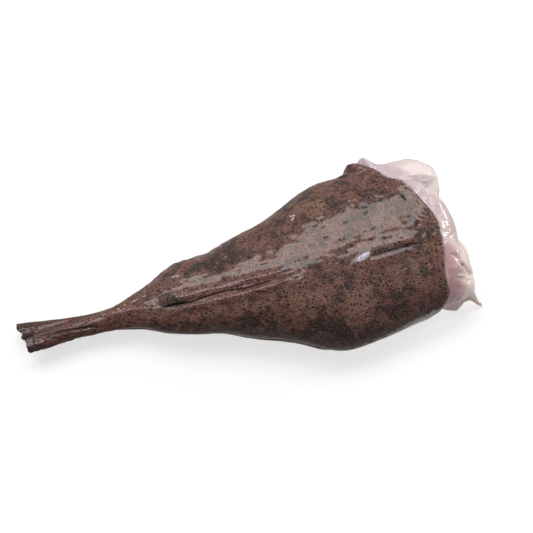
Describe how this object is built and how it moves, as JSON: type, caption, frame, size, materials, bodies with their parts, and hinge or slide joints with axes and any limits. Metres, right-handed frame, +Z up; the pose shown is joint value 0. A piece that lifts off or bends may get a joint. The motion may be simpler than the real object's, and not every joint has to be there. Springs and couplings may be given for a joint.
{
  "type": "monkfish tail",
  "caption": "Skin-on monkfish tail lying belly down: loose dark mottled skin over pale flesh that shows at the shoulder cut, with slits in the back where the fins were.",
  "frame": {"origin": "middle of the part's box, on the surface that it lies on", "axes": "+X along the tail, from the cut tail fin to the shoulder cut; +Y towards the far flank; +Z up, out of the back"},
  "size_m": [0.4134, 0.169, 0.0606],
  "materials": {
    "fish_skin": "wet, slimy and mottled brown, with dark blotches and pores",
    "raw_flesh": "wet, slightly translucent pale pink muscle"
  },
  "bodies": {
    "root": {"skin": "fish_skin", "flesh": "raw_flesh"}
  },
  "joints": []
}
